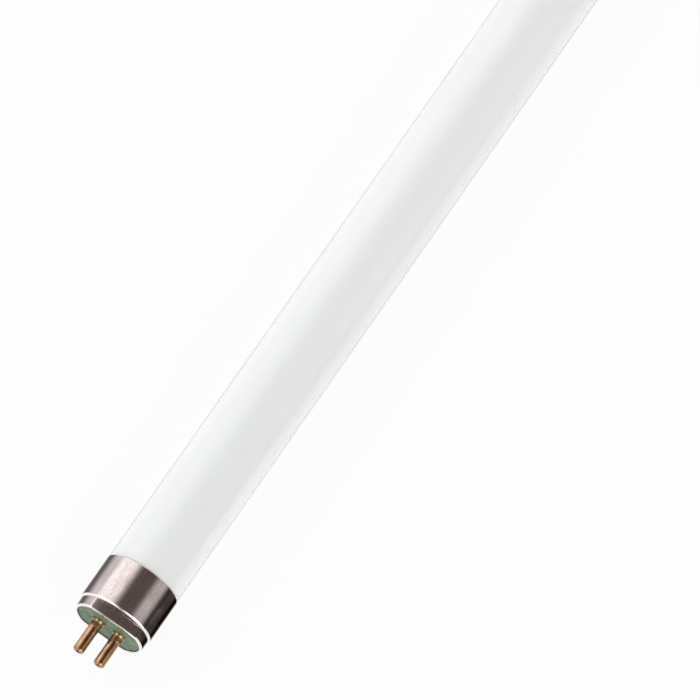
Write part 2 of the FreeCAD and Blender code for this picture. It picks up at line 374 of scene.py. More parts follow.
@dataclass(frozen=True)
class CapFinish:
    """Drawn metal: haze, fine marks, burnished edges, painted dark reflections and painted crease shade.
    """

    rim: float
    shoulder: float
    mouth: float
    metal: Colour = (0.68, 0.610, 0.605)
    haze: Colour = (0.45, 0.385, 0.37)
    # Colour painted on as the surface turns edge on: a painted dark reflection.
    painted_edge_dark: Colour = (0.135, 0.122, 0.122)
    # Colour of the painted dark reflection on one side and of the painted shade in the nose's crease.
    painted_dark: Colour = (0.052, 0.043, 0.040)
    polished: Colour = (0.93, 0.90, 0.895)
    edge_tint: Colour = (0.52, 0.50, 0.50)
    # Edge tint where the dark reflection is painted on.
    dark_reflection_tint: Colour = (0.30, 0.29, 0.285)
    cloud: Grain = Grain(4.0, 2.2, 2.2, detail=4.0, rough=0.6)
    clouded: Ramp = Ramp(0.35, 0.7, 0.0, 0.5)
    fleck: Grain = Grain(0.30, 0.30, 0.30, detail=2.0, rough=0.6)
    flecked: Ramp = Ramp(0.42, 0.64, 0.0, 0.4)
    # How far edge on the painted dark reflection starts and where it is full.
    painted_edge_ramp: Ramp = Ramp(0.40, 0.66)
    # Where the dark reflection is painted: across the side, up it, and how patchy it is.
    dark_reflection_side: Ramp = Ramp(-4.5, -5.7)
    dark_reflection_height: Ramp = Ramp(0.6, 2.2)
    dark_reflection_cover: Ramp = Ramp(0.25, 0.6, 0.88, 1.0)
    # Painted shade in the crease at the nose's foot, made patchy by the flecks.
    crease: Ramp = Ramp(0.75, 1.0)
    crease_cover: Ramp = Ramp(0.3, 0.6, 0.45, 0.9)
    draw_mark: Grain = Grain(30.0, 0.22, 0.22)
    draw_depth: float = 0.0003
    rub_mark: Grain = Grain(0.06, 5.0, 5.0, detail=2.0)
    rub_depth: float = 0.0006
    speck: Grain = Grain(0.16, 0.16, 0.16, detail=1.0)
    speck_depth: float = 0.0045
    drawn_roughness: Ramp = Ramp(0.3, 0.7, 0.14, 0.18)
    added_roughness: Ramp = Ramp(0.3, 0.7, 0.0, 0.05)
    rim_start: float = 0.42
    rim_full: float = 0.30
    shoulder_lead: float = 0.18
    shoulder_reach: float = 0.30
    mouth_reach: float = 0.16

    def build(self) -> bpy.types.Material:
        """Make the material.

        Returns:
            Metal with marks along the lamp and finer ones round it.
        """
        shader = Shader(Slot.CAP.value)
        cloud, fleck = shader.noise(self.cloud), shader.noise(self.fleck)
        drawn = shader.noise(self.draw_mark)
        mottle = shader.math("ADD", shader.span(cloud, self.clouded), shader.span(fleck, self.flecked))
        colour = shader.blend(mottle, self.metal, self.haze)
        # Painted dark reflection towards the edges, growing as the surface turns edge on.
        colour = shader.blend(shader.span(shader.facing(), self.painted_edge_ramp), colour, self.painted_edge_dark)
        # Painted dark reflection on the upper half of the lamp's -Y side, made patchy by the cloud
        # noise.
        painted_dark_reflection = self.painted_dark_reflection(shader, cloud)
        colour = shader.blend(painted_dark_reflection, colour, self.painted_dark)
        # Painted shade in the crease at the foot of the nose, patchy by the flecks, in the dark colour.
        crease = shader.span(shader.painted_recess_shade(), self.crease)
        crease = shader.math("MULTIPLY", crease, shader.span(fleck, self.crease_cover))
        colour = shader.blend(crease, colour, self.painted_dark)
        marks = shader.relief(drawn, self.draw_depth)
        marks = shader.relief(shader.noise(self.rub_mark), self.rub_depth, marks)
        marks = shader.relief(shader.noise(self.speck), self.speck_depth, marks)
        rough = shader.span(drawn, self.drawn_roughness)
        burnish = self.burnish(shader)
        # The edge tint is lowered where the dark reflection is painted.
        edge = shader.blend(painted_dark_reflection, self.edge_tint, self.dark_reflection_tint)
        return shader.surface(
            Base_Color=shader.blend(burnish, colour, self.polished),
            Metallic=1.0,
            Specular_Tint=shader.blend(burnish, edge, WHITE),
            Roughness=shader.math("ADD", rough, shader.span(cloud, self.added_roughness)),
            Normal=marks,
        )

    def painted_dark_reflection(self, shader: Shader, cloud: Socket) -> Socket:
        """Find where a dark reflection is painted, on the upper half of one side.

        Args:
            shader: The material being made.
            cloud: Noise that makes the painted dark reflection patchy.

        Returns:
            Share of painted dark reflection.
        """
        aside = shader.span(shader.axis("Y"), self.dark_reflection_side)
        above = shader.span(shader.axis("Z"), self.dark_reflection_height)
        cover = shader.span(cloud, self.dark_reflection_cover)
        return shader.math("MULTIPLY", shader.math("MULTIPLY", aside, above), cover)

    def burnish(self, shader: Shader) -> Socket:
        """Find the rim, the shoulder and the mouth, which the tools rub bright.

        Args:
            shader: The material being made.

        Returns:
            Share of polish, 1 on those edges and 0 elsewhere.
        """
        along = shader.from_middle()
        share = shader.span(along, Ramp(self.rim - self.rim_start, self.rim - self.rim_full))
        shoulder = (self.shoulder - self.shoulder_lead, self.shoulder_reach)
        for place, reach in (shoulder, (self.mouth, self.mouth_reach)):
            away = shader.math("ABSOLUTE", shader.math("SUBTRACT", along, place))
            near = shader.span(away, Ramp(reach / 2, reach, 1.0, 0.0))
            share = shader.math("MAXIMUM", share, near)
        return share


@dataclass(frozen=True)
class DiscFinish:
    """Dull green insulating board with short fibres in it, and painted shade round its edge beside the
    lip.
    """

    board: Colour = (0.105, 0.180, 0.105)
    pale_fibre: Colour = (0.175, 0.250, 0.165)
    dark_fibre: Colour = (0.050, 0.100, 0.055)
    # Colour of the painted shade round the edge, beside the lip.
    painted_shade: Colour = (0.022, 0.030, 0.020)
    level_fibre: Grain = Grain(1.0, 0.9, 0.09, detail=2.0)
    level_share: Ramp = Ramp(0.5, 0.8)
    upright_fibre: Grain = Grain(1.0, 0.09, 0.9, detail=2.0)
    upright_share: Ramp = Ramp(0.55, 0.85)
    cloud: Grain = Grain(2.0, 2.0, 2.0)
    clouded: Ramp = Ramp(0.35, 0.75, 0.0, 0.35)
    weave_depth: float = 0.02
    roughness: Ramp = Ramp(0.3, 0.7, 0.42, 0.58)

    def build(self) -> bpy.types.Material:
        """Make the material.

        Returns:
            Green board with pale and dark fibres that cross each other.
        """
        shader = Shader(Slot.DISC.value)
        level, upright = shader.noise(self.level_fibre), shader.noise(self.upright_fibre)
        cloud = shader.noise(self.cloud)
        colour = shader.blend(shader.span(level, self.level_share), self.board, self.pale_fibre)
        colour = shader.blend(shader.span(upright, self.upright_share), colour, self.dark_fibre)
        colour = shader.blend(shader.span(cloud, self.clouded), colour, self.dark_fibre)
        return shader.surface(
            # Painted shade round the board's edge beside the lip, from the points' own share.
            Base_Color=shader.blend(shader.painted_recess_shade(), colour, self.painted_shade),
            Roughness=shader.span(cloud, self.roughness),
            Normal=shader.relief(shader.math("ADD", level, upright), self.weave_depth),
        )


@dataclass(frozen=True)
class BrassFinish:
    """Drawn brass, browned a little, marked along it; painted dark edges, painted shade by the cap's
    face.
    """

    face: float
    bright: Colour = (0.54, 0.310, 0.125)
    brown: Colour = (0.27, 0.085, 0.016)
    # Colour painted on as the surface turns edge on: a painted dark reflection.
    painted_edge_dark: Colour = (0.10, 0.036, 0.020)
    # Colour of the painted shade by the cap's face, where the pin meets the disc.
    painted_shade: Colour = (0.17, 0.080, 0.022)
    mark: Grain = Grain(4.0, 0.16, 0.16)
    marked: Ramp = Ramp(0.3, 0.65, 0.35, 1.0)
    mark_depth: float = 0.003
    bloom: Grain = Grain(1.6, 0.7, 0.7, rough=0.6)
    bloomed: Ramp = Ramp(0.34, 0.66)
    # How far edge on the painted dark reflection starts and where it is full.
    painted_edge_ramp: Ramp = Ramp(0.35, 0.75)
    # Painted shade from just outside the cap's face to just inside it.
    painted_shade_ramp: Ramp = Ramp(0.45, -0.1, 0.0, 0.85)
    roughness: Ramp = Ramp(0.3, 0.7, 0.13, 0.26)
    lacquer_index: float = 1.6
    lacquer_roughness: float = 0.12

    def build(self) -> bpy.types.Material:
        """Make the material.

        Returns:
            Brass with lengthwise marks and a brown bloom.
        """
        shader = Shader(Slot.PIN.value)
        marks = shader.noise(self.mark)
        bloom = shader.span(shader.noise(self.bloom), self.bloomed)
        browned = shader.math("MULTIPLY", bloom, shader.span(marks, self.marked))
        colour = shader.blend(browned, self.bright, self.brown)
        # Painted dark reflection towards the pin's edges, growing as the surface turns edge on.
        colour = shader.blend(shader.span(shader.facing(), self.painted_edge_ramp), colour, self.painted_edge_dark)
        beyond = shader.math("SUBTRACT", shader.from_middle(), self.face)
        return shader.surface(
            # Painted shade on the collar and foot, by the cap's face.
            Base_Color=shader.blend(shader.span(beyond, self.painted_shade_ramp), colour, self.painted_shade),
            Metallic=1.0,
            Roughness=shader.span(marks, self.roughness),
            Normal=shader.relief(marks, self.mark_depth),
            Coat_Weight=1.0,
            Coat_IOR=self.lacquer_index,
            Coat_Roughness=self.lacquer_roughness,
        )


@dataclass(frozen=True)
class CementFinish:
    """Rough dry cement of two close colours."""

    light: Colour = (0.62, 0.58, 0.50)
    dark: Colour = (0.42, 0.38, 0.32)
    grit: Grain = Grain(0.25, 0.25, 0.25, detail=4.0, rough=0.65)
    gritty: Ramp = Ramp(0.3, 0.7)
    grit_depth: float = 0.08
    roughness: float = 0.9

    def build(self) -> bpy.types.Material:
        """Make the material.

        Returns:
            Gritty cement.
        """
        shader = Shader(Slot.CEMENT.value)
        grit = shader.noise(self.grit)
        colour = shader.blend(shader.span(grit, self.gritty), self.dark, self.light)
        normal = shader.relief(grit, self.grit_depth)
        return shader.surface(Base_Color=colour, Roughness=self.roughness, Normal=normal)


@dataclass(frozen=True)
class WireFinish:
    """Nickel wire with draw marks."""

    bright: Colour = (0.52, 0.50, 0.47)
    dull: Colour = (0.26, 0.24, 0.22)
    mark: Grain = Grain(3.0, 0.05, 0.05, detail=2.0)
    marked: Ramp = Ramp(0.3, 0.7)
    roughness: Ramp = Ramp(0.3, 0.7, 0.28, 0.45)

    def build(self) -> bpy.types.Material:
        """Make the material.

        Returns:
            Drawn wire, duller in places.
        """
        shader = Shader(Slot.LEAD.value)
        marks = shader.noise(self.mark)
        colour = shader.blend(shader.span(marks, self.marked), self.dull, self.bright)
        rough = shader.span(marks, self.roughness)
        return shader.surface(Base_Color=colour, Metallic=1.0, Roughness=rough)


@dataclass(frozen=True)
class FloorFinish:
    """Pale matt floor that shows near white and keeps the lamp's shadow."""

    colour: Colour = (0.97, 0.97, 0.97)
    own_white: float = 0.9

    def build(self) -> bpy.types.Material:
        """Make the material.

        Returns:
            Matt white, part of it plain white to the camera and to mirrors.
        """
        shader = Shader("floor")
        matt = shader.add("ShaderNodeBsdfDiffuse", {"Color": rgba(self.colour)})
        white = shader.add("ShaderNodeEmission", {"Color": rgba(WHITE), "Strength": 1.0})
        rays = shader.add("ShaderNodeLightPath").outputs
        seen = shader.math("MAXIMUM", rays["Is Camera Ray"], rays["Is Glossy Ray"])
        seen = shader.math("MAXIMUM", seen, rays["Is Transmission Ray"])
        share = shader.math("MULTIPLY", seen, self.own_white)
        mixed = shader.add("ShaderNodeMixShader", {0: share, 1: matt.outputs[0], 2: white.outputs[0]})
        shader.add("ShaderNodeOutputMaterial", {"Surface": mixed.outputs[0]})
        return shader.material


@dataclass(frozen=True)
class Corner:
    """Corner of an outline, with the radius that rounds it off, in millimetres."""

    along: float
    out: float
    round: float = 0.0


def rounded(corners: Sequence[Corner], steps: int = 6, guard: float = 0.06) -> list[Vector]:
    """Open outline with an arc at each corner that has a radius.

    Args:
        corners: Corners in order.
        steps: Parts of each arc.
        guard: Length kept flat beside each arc, so that its shading doesn't spread.

    Returns:
        Points as (along, out) pairs.
    """
    most = 0.49
    points = [Vector((corner.along, corner.out)) for corner in corners]
    outline = [points[0]]
    for corner, before, here, after in zip(corners[1:-1], points, points[1:], points[2:]):
        if corner.round <= 0.0:
            outline.append(here)
            continue
        back, ahead = before - here, after - here
        half = back.angle(ahead) / 2
        reach = min(corner.round / math.tan(half), most * back.length, most * ahead.length)
        radius = reach * math.tan(half)
        back, ahead = back.normalized(), ahead.normalized()
        centre = here + (back + ahead).normalized() * (radius / math.sin(half))
        start, end = here + back * reach - centre, here + ahead * reach - centre
        turn = start.angle_signed(end)
        outline.append(here + back * (reach + guard))
        for step in range(steps + 1):
            spun = start.copy()
            spun.rotate(Matrix.Rotation(-turn * step / steps, 2))
            outline.append(centre + spun)
        outline.append(here + ahead * (reach + guard))
    return outline + [points[-1]]


def arc(centre: Sequence[float], radius: float, first: float, last: float, parts: int) -> list[Vector]:
    """Points along an arc across the lamp, without the last one.

    Args:
        centre: Y and Z of its centre.
        radius: Its radius.
        first: Angle where it starts.
        last: Angle where it ends.
        parts: Parts that it has.

    Returns:
        Points as (Y, Z) pairs.
    """
    angles = [first + (last - first) * part / parts for part in range(parts)]
    return [Vector((centre[0] + radius * math.cos(a), centre[1] + radius * math.sin(a))) for a in angles]


def new_piece(name: str, mesh: bpy.types.Mesh) -> bpy.types.Object:
    """Make an object for a finished mesh, at the origin.

    Args:
        name: Name of the object.
        mesh: Its mesh.

    Returns:
        The object.
    """
    piece = bpy.data.objects.new(name, mesh)
    bpy.context.scene.collection.objects.link(piece)
    return piece


def seat(piece: bpy.types.Object, slot: Slot, *nodes: str) -> None:
    """Put a dressed piece in the lamp in place of the frame's solids, and report it.

    Args:
        piece: The finished piece.
        slot: Finish that the piece has; not used.
        *nodes: Solids that it stands for.
    """
    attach(piece, BODY)
    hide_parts(*nodes)
    LOG.info("%s: %d faces for %s", piece.name, len(piece.data.polygons), ", ".join(nodes))


def shade(mesh: bpy.types.Mesh) -> None:
    """Shade a mesh smooth, apart from its sharp edges."""
    mesh.shade_smooth()
    mesh.set_sharp_from_angle(angle=SHARP_ANGLE)


def drawn_piece(
    form: bmesh.types.BMesh, name: str, finish: bpy.types.Material, turn: Matrix
) -> bpy.types.Object:
    """Turn, scale and shade a form drawn in millimetres.

    Args:
        form: The drawn form, freed afterwards.
        name: Name of the piece.
        finish: Its material.
        turn: Turn that brings it to its end of the lamp.

    Returns:
        The piece in metres.
    """
    bmesh.ops.remove_doubles(form, verts=form.verts, dist=MERGE)
    bmesh.ops.recalc_face_normals(form, faces=form.faces)
    bmesh.ops.transform(form, matrix=turn @ Matrix.Scale(MM, 4), verts=form.verts)
    mesh = bpy.data.meshes.new(name)
    form.to_mesh(mesh)
    form.free()
    mesh.materials.append(finish)
    shade(mesh)
    return new_piece(name, mesh)


def loft(form: bmesh.types.BMesh, rings: Sequence[Ring], closed: bool) -> list[list[bmesh.types.BMVert]]:
    """Join rings of as many points each with faces.

    Args:
        form: Form that takes the faces.
        rings: Rings in order.
        closed: True if the last ring joins the first.

    Returns:
        The rings' vertices.
    """
    made = [[form.verts.new(point) for point in ring] for ring in rings]
    pairs = list(zip(made, made[1:]))
    if closed:
        pairs.append((made[-1], made[0]))
    for first, second in pairs:
        for index, vertex in enumerate(first):
            after = (index + 1) % len(first)
            form.faces.new((vertex, first[after], second[after], second[index]))
    return made


class TurnedForm:
    """Geometry Nodes tree that turns an outline about the lamp's axis and sets it in its places."""

    PATH_RADIUS = 10.0 * MM

    def __init__(self, name: str) -> None:
        """Start a tree with the inputs that every turned form has.

        Args:
            name: Name of the tree.
        """
        self.group = bpy.data.node_groups.new(name, "GeometryNodeTree")
        self.tree = Tree(self.group)
        self.identifiers: dict[str, str] = {}
        self.socket("Outline", "NodeSocketGeometry")
        self.socket("Segments", "NodeSocketInt")
        self.socket("Finish", "NodeSocketMaterial")
        self.group.interface.new_socket("Form", in_out="OUTPUT", socket_type="NodeSocketGeometry")

    def socket(self, name: str, kind: str) -> None:
        """Add a named input to the tree."""
        item = self.group.interface.new_socket(name, in_out="INPUT", socket_type=kind)
        self.identifiers[name] = item.identifier

    def turned(self, given: Any) -> Socket:
        """Nodes that sweep the outline round the axis.

        Args:
            given: Outputs of the tree's input node.

        Returns:
            The turned mesh, lying along X.
        """
        tree = self.tree
        place = tree.add("GeometryNodeInputPosition").outputs[0]
        parts = tree.add("ShaderNodeSeparateXYZ", {0: place}).outputs
        out = tree.math("SUBTRACT", parts["Y"], self.PATH_RADIUS)
        back = tree.math("MULTIPLY", parts["X"], -1.0)
        section = tree.add("ShaderNodeCombineXYZ", {"X": out, "Y": back}).outputs[0]
        moved = tree.add("GeometryNodeSetPosition", {"Geometry": given["Outline"], "Position": section})
        line = tree.add("GeometryNodeMeshToCurve", {"Mesh": moved.outputs[0]}).outputs["Curve"]
        round_axis = {"Resolution": given["Segments"], "Radius": self.PATH_RADIUS}
        path = tree.add("GeometryNodeCurvePrimitiveCircle", round_axis, mode="RADIUS").outputs["Curve"]
        swept = tree.add("GeometryNodeCurveToMesh", {"Curve": path, "Profile Curve": line})
        closing = {"Geometry": swept.outputs[0], "Distance": MERGE * MM}
        merged = tree.add("GeometryNodeMergeByDistance", closing)
        laying = {"Geometry": merged.outputs[0], "Rotation": (0.0, math.pi / 2, 0.0)}
        return tree.add("GeometryNodeTransform", laying).outputs[0]

    def finish(self, placing: Callable[[Tree, Socket, Any], Socket] | None = None) -> None:
        """Wire the form from the input node to the output node.

        Args:
            placing: Adds nodes that set the turned form in its places, if it has more than one.
        """
        given = self.tree.add("NodeGroupInput").outputs
        form = self.turned(given)
        if placing is not None:
            form = placing(self.tree, form, given)
        real = self.tree.add("GeometryNodeRealizeInstances", {"Geometry": form})
        dressing = {"Geometry": real.outputs[0], "Material": given["Finish"]}
        dressed = self.tree.add("GeometryNodeSetMaterial", dressing)
        self.tree.add("NodeGroupOutput", {"Form": dressed.outputs[0]})

    def make(self, name: str, outline: Sequence[Vector], **values: Any) -> bpy.types.Object:
        """Run the tree on an outline and keep the result as a plain mesh.

        Args:
            name: Name of the piece.
            outline: Points as (along, out) pairs in millimetres.
            **values: Values of the tree's inputs, with underscores for spaces.

        Returns:
            The piece.
        """
        drawn = bpy.data.meshes.new(f"{name}_outline")
        points = [point.to_3d() * MM for point in outline]
        drawn.from_pydata(points, [(i, i + 1) for i in range(len(points) - 1)], [])
        source = new_piece(f"{name}_source", drawn)
        modifier = source.modifiers.new("turned_form", "NODES")
        modifier.node_group = self.group
        for key, value in values.items():
            modifier[self.identifiers[key.replace("_", " ")]] = value
        graph = bpy.context.evaluated_depsgraph_get()
        mesh = bpy.data.meshes.new_from_object(source.evaluated_get(graph), depsgraph=graph)
        mesh.name = name
        source.modifiers.remove(modifier)
        bpy.data.objects.remove(source)
        bpy.data.meshes.remove(drawn)
        shade(mesh)
        return new_piece(name, mesh)


@dataclass(frozen=True)
class GlassTube:
    """Sealed glass envelope: long tube, stepped neck in each cap, flare, press and exhaust tip."""

    sizes: LampSizes
    neck_radius: float = 7.35
    mouth_gap: float = 0.04
    shoulder_round: float = 0.3
    root_round: float = 0.12
    rim_round: float = 0.4
    rim_band: float = 2.2
    flare_depth: float = 9.0
    throat_radius: float = 3.025
    press_round: float = 0.3
    exhaust_radius: float = 1.1
    exhaust_length: float = 4.5
    exhaust_point: float = 1.2
    exhaust_round: float = 0.8
    segments: int = 192
    rings: int = 48

    def outline(self) -> list[Vector]:
        """Outer outline from the left exhaust tip to the right one.

        Returns:
            Points as (along, out) pairs.
        """
        face, radius = self.sizes.face, self.sizes.tube_radius
        rim = face + self.sizes.glass_rim
        press = rim + self.flare_depth
        tip = press - self.exhaust_length
        step = face + self.sizes.mouth + self.mouth_gap
        end = rounded([
            Corner(tip, 0.0),
            Corner(tip + self.exhaust_point, self.exhaust_radius, self.exhaust_round),
            Corner(press, self.exhaust_radius, self.press_round),
            Corner(press, self.throat_radius, self.press_round),
            Corner(rim, self.neck_radius - self.rim_band, self.rim_round),
            Corner(rim, self.neck_radius, self.rim_round),
            Corner(step, self.neck_radius, self.root_round),
            Corner(step, radius, self.shoulder_round),
            Corner(0.0, radius),
        ])
        start = end[-2].x
        half = end[:-1] + [Vector((start * (1 - i / self.rings), radius)) for i in range(1, self.rings)]
        return half + end[-1:] + [Vector((-p.x, p.y)) for p in reversed(half)]

    def build(self, finish: bpy.types.Material) -> None:
        """Make the glass and seat it.

        Args:
            finish: Material of the coated glass.
        """
        form = TurnedForm("glass_tube_form")
        form.finish()
        piece = form.make("coated_tube", self.outline(), Segments=self.segments, Finish=finish)
        seat(piece, Slot.GLASS, "glass_tube")


@dataclass(frozen=True)
class NoseOutline:
    """Outline of a cap's nose: a circle cut by two nearly flat arcs, with rounded corners."""

    cap_radius: float
    side_step: float = 0.35
    flat: float = 6.0
    crown: float = 26.0
    corner: float = 0.6
    least_round: float = 0.02
    flat_parts: int = 20
    corner_parts: int = 8
    side_parts: int = 26

    def ring(self, inset: float, along: float) -> Ring:
        """Points round the outline, drawn in on every side.

        Args:
            inset: Distance inwards, or outwards if it is negative.
            along: Place along the lamp.

        Returns:
            The points, counted from the middle of one side.
        """
        radius = self.cap_radius - self.side_step
        corner = max(self.corner, inset + self.least_round)
        drop, tight, wide = self.crown - self.flat, radius - corner, self.crown - corner
        rise = (wide ** 2 - tight ** 2 - drop ** 2) / (2 * drop)
        reach = math.sqrt(tight ** 2 - rise ** 2)
        side, top = math.atan2(rise, reach), math.atan2(rise + drop, reach)
        quarter = arc((0.0, 0.0), radius - inset, 0.0, side, self.side_parts)
        quarter += arc((reach, rise), corner - inset, side, top, self.corner_parts)
        quarter += arc((0.0, -drop), self.crown - inset, top, math.pi / 2, self.flat_parts)
        middle = Vector((0.0, self.flat - inset))
        upper = quarter + [middle] + [Vector((-p.x, p.y)) for p in reversed(quarter)]
        return [Vector((along, *p)) for p in upper + [-p for p in upper[1:-1]]]

    def circle(self, radius: float, along: float) -> Ring:
        """Circle whose points stand at the same angles as the outline's."""
        points = [p.yz.normalized() * radius for p in self.ring(0.0, 0.0)]
        return [Vector((along, *p)) for p in points]


@dataclass(frozen=True)
class CapShell:
    """Drawn metal shell: round skirt, nose with two flattened sides, and a rolled lip."""

    sizes: LampSizes
    outline: NoseOutline
    wall: float = 0.3
    nose_height: float = 2.35
    shoulder_round: float = 0.46
    shoulder_parts: int = 12
    lead_in: float = 1.0
    root_round: float = 0.09
    root_parts: int = 8
    rim_round: float = 0.34
    lip_width: float = 0.5
    lip_round: float = 0.14
    lip_back_round: float = 0.05
    mouth_round: float = 0.13
    guard: float = 0.02

    @property
    def ledge(self) -> float:
        """Place of the ledge round the foot of the nose."""
        return self.sizes.face + self.nose_height

    @property
    def mouth(self) -> float:
        """Place of the skirt's mouth."""
        return self.sizes.face + self.sizes.mouth

    def skirt_rings(self) -> list[Ring]:
        """Rings from the skirt's mouth over the shoulder to the foot of the nose.

        Returns:
            The rings in order.
        """
        radius = self.sizes.cap_radius
        path = rounded([
            Corner(self.mouth, radius - self.wall),
            Corner(self.mouth, radius, self.mouth_round),
            Corner(self.ledge, radius, self.shoulder_round),
            Corner(self.ledge, self.outline.flat),
        ], steps=self.shoulder_parts)
        rings = []
        for point in path[1:-1]:
            foot = self.outline.ring(-self.root_round, point.x)
            circle = self.outline.circle(point.y, point.x)
            rings.append([c if c.yz.length > f.yz.length else f for c, f in zip(circle, foot)])
        return rings

    def nose_rings(self) -> list[Ring]:
        """Rings from the foot of the nose up its side and over the rim to the lip.

        Returns:
            The rings in order.
        """
        face = self.sizes.face
        nose = rounded([
            Corner(self.ledge, -self.lead_in),
            Corner(self.ledge, 0.0, self.root_round),
            Corner(face, 0.0, self.rim_round),
            Corner(face, self.lip_width, self.lip_round),
            Corner(face + self.wall, self.lip_width, self.lip_back_round),
            Corner(face + self.wall, self.wall),
        ], steps=self.root_parts, guard=self.guard)
        return [self.outline.ring(p.y, p.x) for p in nose[2:]]

    def inner_rings(self) -> list[Ring]:
        """Rings down the inside of the nose and the skirt, back to the mouth.

        Returns:
            The rings in order.
        """
        back = self.ledge + self.wall
        bore = self.sizes.cap_radius - self.wall
        return [
            self.outline.ring(self.wall, self.sizes.face + self.wall + self.lip_back_round),
            self.outline.ring(self.wall, back),
            self.outline.circle(bore, back),
            self.outline.circle(bore, self.mouth - self.wall),
            self.outline.circle(bore, self.mouth),
        ]

    def build(self, end: End, finish: bpy.types.Material) -> None:
        """Make the shell of one end and seat it.

        Args:
            end: The end of the lamp.
            finish: Material of the metal.
        """
        form = bmesh.new()
        painted_shade = form.verts.layers.float.new(PAINTED_RECESS_SHADE)
        skirt = self.skirt_rings()
        made = loft(form, skirt + self.nose_rings() + self.inner_rings(), closed=True)
        # The rings of the crease at the nose's foot carry painted shade.
        crease = made[len(skirt):][:self.root_parts + 1]
        for vertex in (v for ring in crease for v in ring):
            vertex[painted_shade] = 1.0
        piece = drawn_piece(form, end.node("cap"), finish, end.turn)
        seat(piece, Slot.CAP, end.node("cap_shell"))


@dataclass(frozen=True)
class InsulatingDisc:
    """Board in the nose, with a boss behind the lip, a flange behind the ledge and two pin holes."""

    sizes: LampSizes
    outline: NoseOutline
    front: float = 0.3
    boss_inset: float = 0.35
    # Insets where the painted shade beside the lip is full and where it fades out.
    painted_shade_full: float = 0.6
    painted_shade_end: float = 0.85
    edge_round: float = 0.15
    guard: float = 0.02
    ledge_back: float = 2.8
    flange_radius: float = 7.65
    flange_band: float = 0.6
    hole_gap: float = 0.03
    hole_parts: int = 48

    def edge_rings(self) -> list[Ring]:
        """Rings from the front face round the boss and the flange to the back face.

        Returns:
            The rings in order.
        """
        front, ledge, back = (
            self.sizes.face + depth for depth in (self.front, self.ledge_back, self.sizes.disc_back)
        )
        boss = rounded([
            Corner(front, self.painted_shade_end),
            Corner(front, self.painted_shade_full),
            Corner(front, self.boss_inset, self.edge_round),
            Corner(ledge, self.boss_inset),
        ], guard=self.guard)
        flange = rounded([
            Corner(ledge, self.flange_radius - self.flange_band),
            Corner(ledge, self.flange_radius, self.edge_round),
            Corner(back, self.flange_radius, self.edge_round),
            Corner(back, self.flange_radius - self.flange_band),
        ])
        rings = [self.outline.ring(p.y, p.x) for p in boss]
        return rings + [self.outline.circle(p.y, p.x) for p in flange[1:-1]]

    def hole(self, side: float) -> list[Ring]:
        """Rings of one pin hole, in front and at the back.

        Args:
            side: Sign of Y at the hole.

        Returns:
            The two rings.
        """
        middle = (side * self.sizes.pin_side, 0.0)
        points = arc(middle, self.sizes.pin_radius + self.hole_gap, 0.0, 2 * math.pi, self.hole_parts)
        depths = (self.front, self.sizes.disc_back)
        return [[Vector((self.sizes.face + depth, *p)) for p in points] for depth in depths]

    def build(self, end: End, finish: bpy.types.Material) -> None:
        """Make the disc of one end and seat it.

        Args:
            end: The end of the lamp.
            finish: Material of the board.
        """
        form = bmesh.new()
        painted_shade = form.verts.layers.float.new(PAINTED_RECESS_SHADE)
        edge = loft(form, self.edge_rings(), closed=False)
        # Every ring but the first carries painted shade beside the lip.
        for vertex in (v for ring in edge[1:] for v in ring):
            vertex[painted_shade] = 1.0
        holes = [loft(form, self.hole(side), closed=False) for side in (-1, 1)]
        for number in (0, -1):
            loops = [edge[number]] + [hole[number] for hole in holes]
            edges = [form.edges.get((v, loop[i - 1])) for loop in loops for i, v in enumerate(loop)]
            bmesh.ops.triangle_fill(form, edges=edges, use_beauty=True)
        piece = drawn_piece(form, end.node("disc"), finish, end.turn)
        seat(piece, Slot.DISC, end.node("insulator"))


